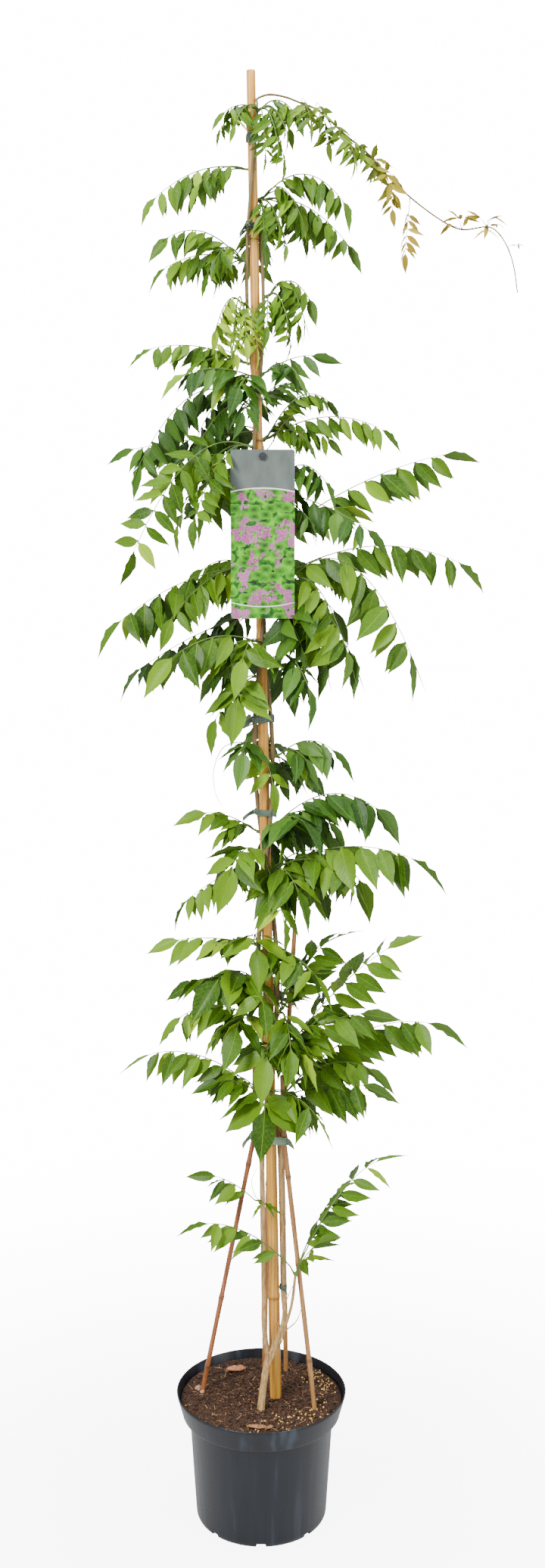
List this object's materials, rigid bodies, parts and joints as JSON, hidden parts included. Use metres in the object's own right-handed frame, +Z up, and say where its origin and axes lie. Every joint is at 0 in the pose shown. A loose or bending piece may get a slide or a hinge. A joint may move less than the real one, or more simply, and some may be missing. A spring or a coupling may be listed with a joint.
{
  "type": "potted wisteria",
  "caption": "Young wisteria trained up a tall bamboo cane in a round nursery pot, with thin support canes, tape ties, a hang tag and an arching runner.",
  "frame": {"origin": "centre of the flat underside of the pot", "axes": "+Z up along the pot's axis, -Y towards the side of the plant that carries the hang tag, +X to the right as seen from that side"},
  "size_m": [0.5843, 0.2935, 2.1],
  "materials": {
    "pot_plastic": "satin black moulded plastic",
    "soil": "crumbly dark potting mix",
    "bamboo": "dry golden bamboo, satin",
    "thin_bamboo": "reddish dry bamboo, satin",
    "bark": "thin tan bark",
    "tie_tape": "grey-green tying tape",
    "tie_black": "black tie",
    "tie_teal": "blue-green clip",
    "tag_card": "glossy printed plastic card",
    "leaf_fresh": "thin fresh green leaf",
    "leaf_green": "thin mid green leaf",
    "leaf_dark": "thin dark green leaf",
    "leaf_lime": "thin yellow-green young leaf",
    "leaf_bronze": "thin bronze young leaf"
  },
  "bodies": {
    "root": {"pot": "pot_plastic", "soil": "soil", "main_cane": "bamboo", "thin_cane_left": "thin_bamboo", "thin_cane_right": "thin_bamboo", "thin_cane_back_right": "thin_bamboo", "thin_cane_back_left": "thin_bamboo", "vine": "bark", "tie_top": "tie_tape", "tie_upper": "tie_tape", "tie_shoulder": "tie_black", "tie_waist": "tie_tape", "tie_low_waist": "tie_tape", "tie_clip": "tie_teal", "tie_gather": "tie_tape", "tie_low": "tie_tape", "hang_tag": "tag_card", "tag_clip": "tie_black", "spray_crown": "leaf_fresh", "spray_left_high": "leaf_fresh", "spray_right_high": "leaf_fresh", "spray_left_second": "leaf_fresh", "spray_right_third": "leaf_fresh", "spray_lime": "leaf_lime", "spray_left_third": "leaf_fresh", "spray_shoulder_left": "leaf_green", "spray_shoulder_right": "leaf_green", "spray_dark_arch": "leaf_dark", "spray_spindly": "leaf_fresh", "spray_dark_left": "leaf_dark", "spray_open_left": "leaf_fresh", "spray_bright_left": "leaf_fresh", "spray_near_right": "leaf_green", "spray_long_right": "leaf_fresh", "spray_long_left": "leaf_fresh", "spray_far_right": "leaf_fresh", "spray_arch_right": "leaf_fresh", "spray_low_left": "leaf_dark", "spray_dark_right": "leaf_dark", "spray_palm_left": "leaf_fresh", "spray_hang_right": "leaf_green", "spray_palm_front": "leaf_fresh", "spray_waist_right": "leaf_green", "spray_waist_front": "leaf_green", "spray_fan_right": "leaf_green", "spray_waist_left": "leaf_fresh", "spray_palm_big": "leaf_fresh", "spray_low_arch": "leaf_fresh", "spray_slim_left": "leaf_fresh", "spray_broad_left": "leaf_fresh", "spray_rise_right": "leaf_fresh", "spray_round_left": "leaf_fresh", "spray_star_front": "leaf_fresh", "spray_tall_right": "leaf_fresh", "spray_low_reach": "leaf_fresh", "spray_star_low": "leaf_fresh", "spray_reach_right": "leaf_fresh", "spray_skirt_left": "leaf_fresh", "spray_skirt_right": "leaf_fresh", "runner": "leaf_bronze"}
  },
  "joints": []
}
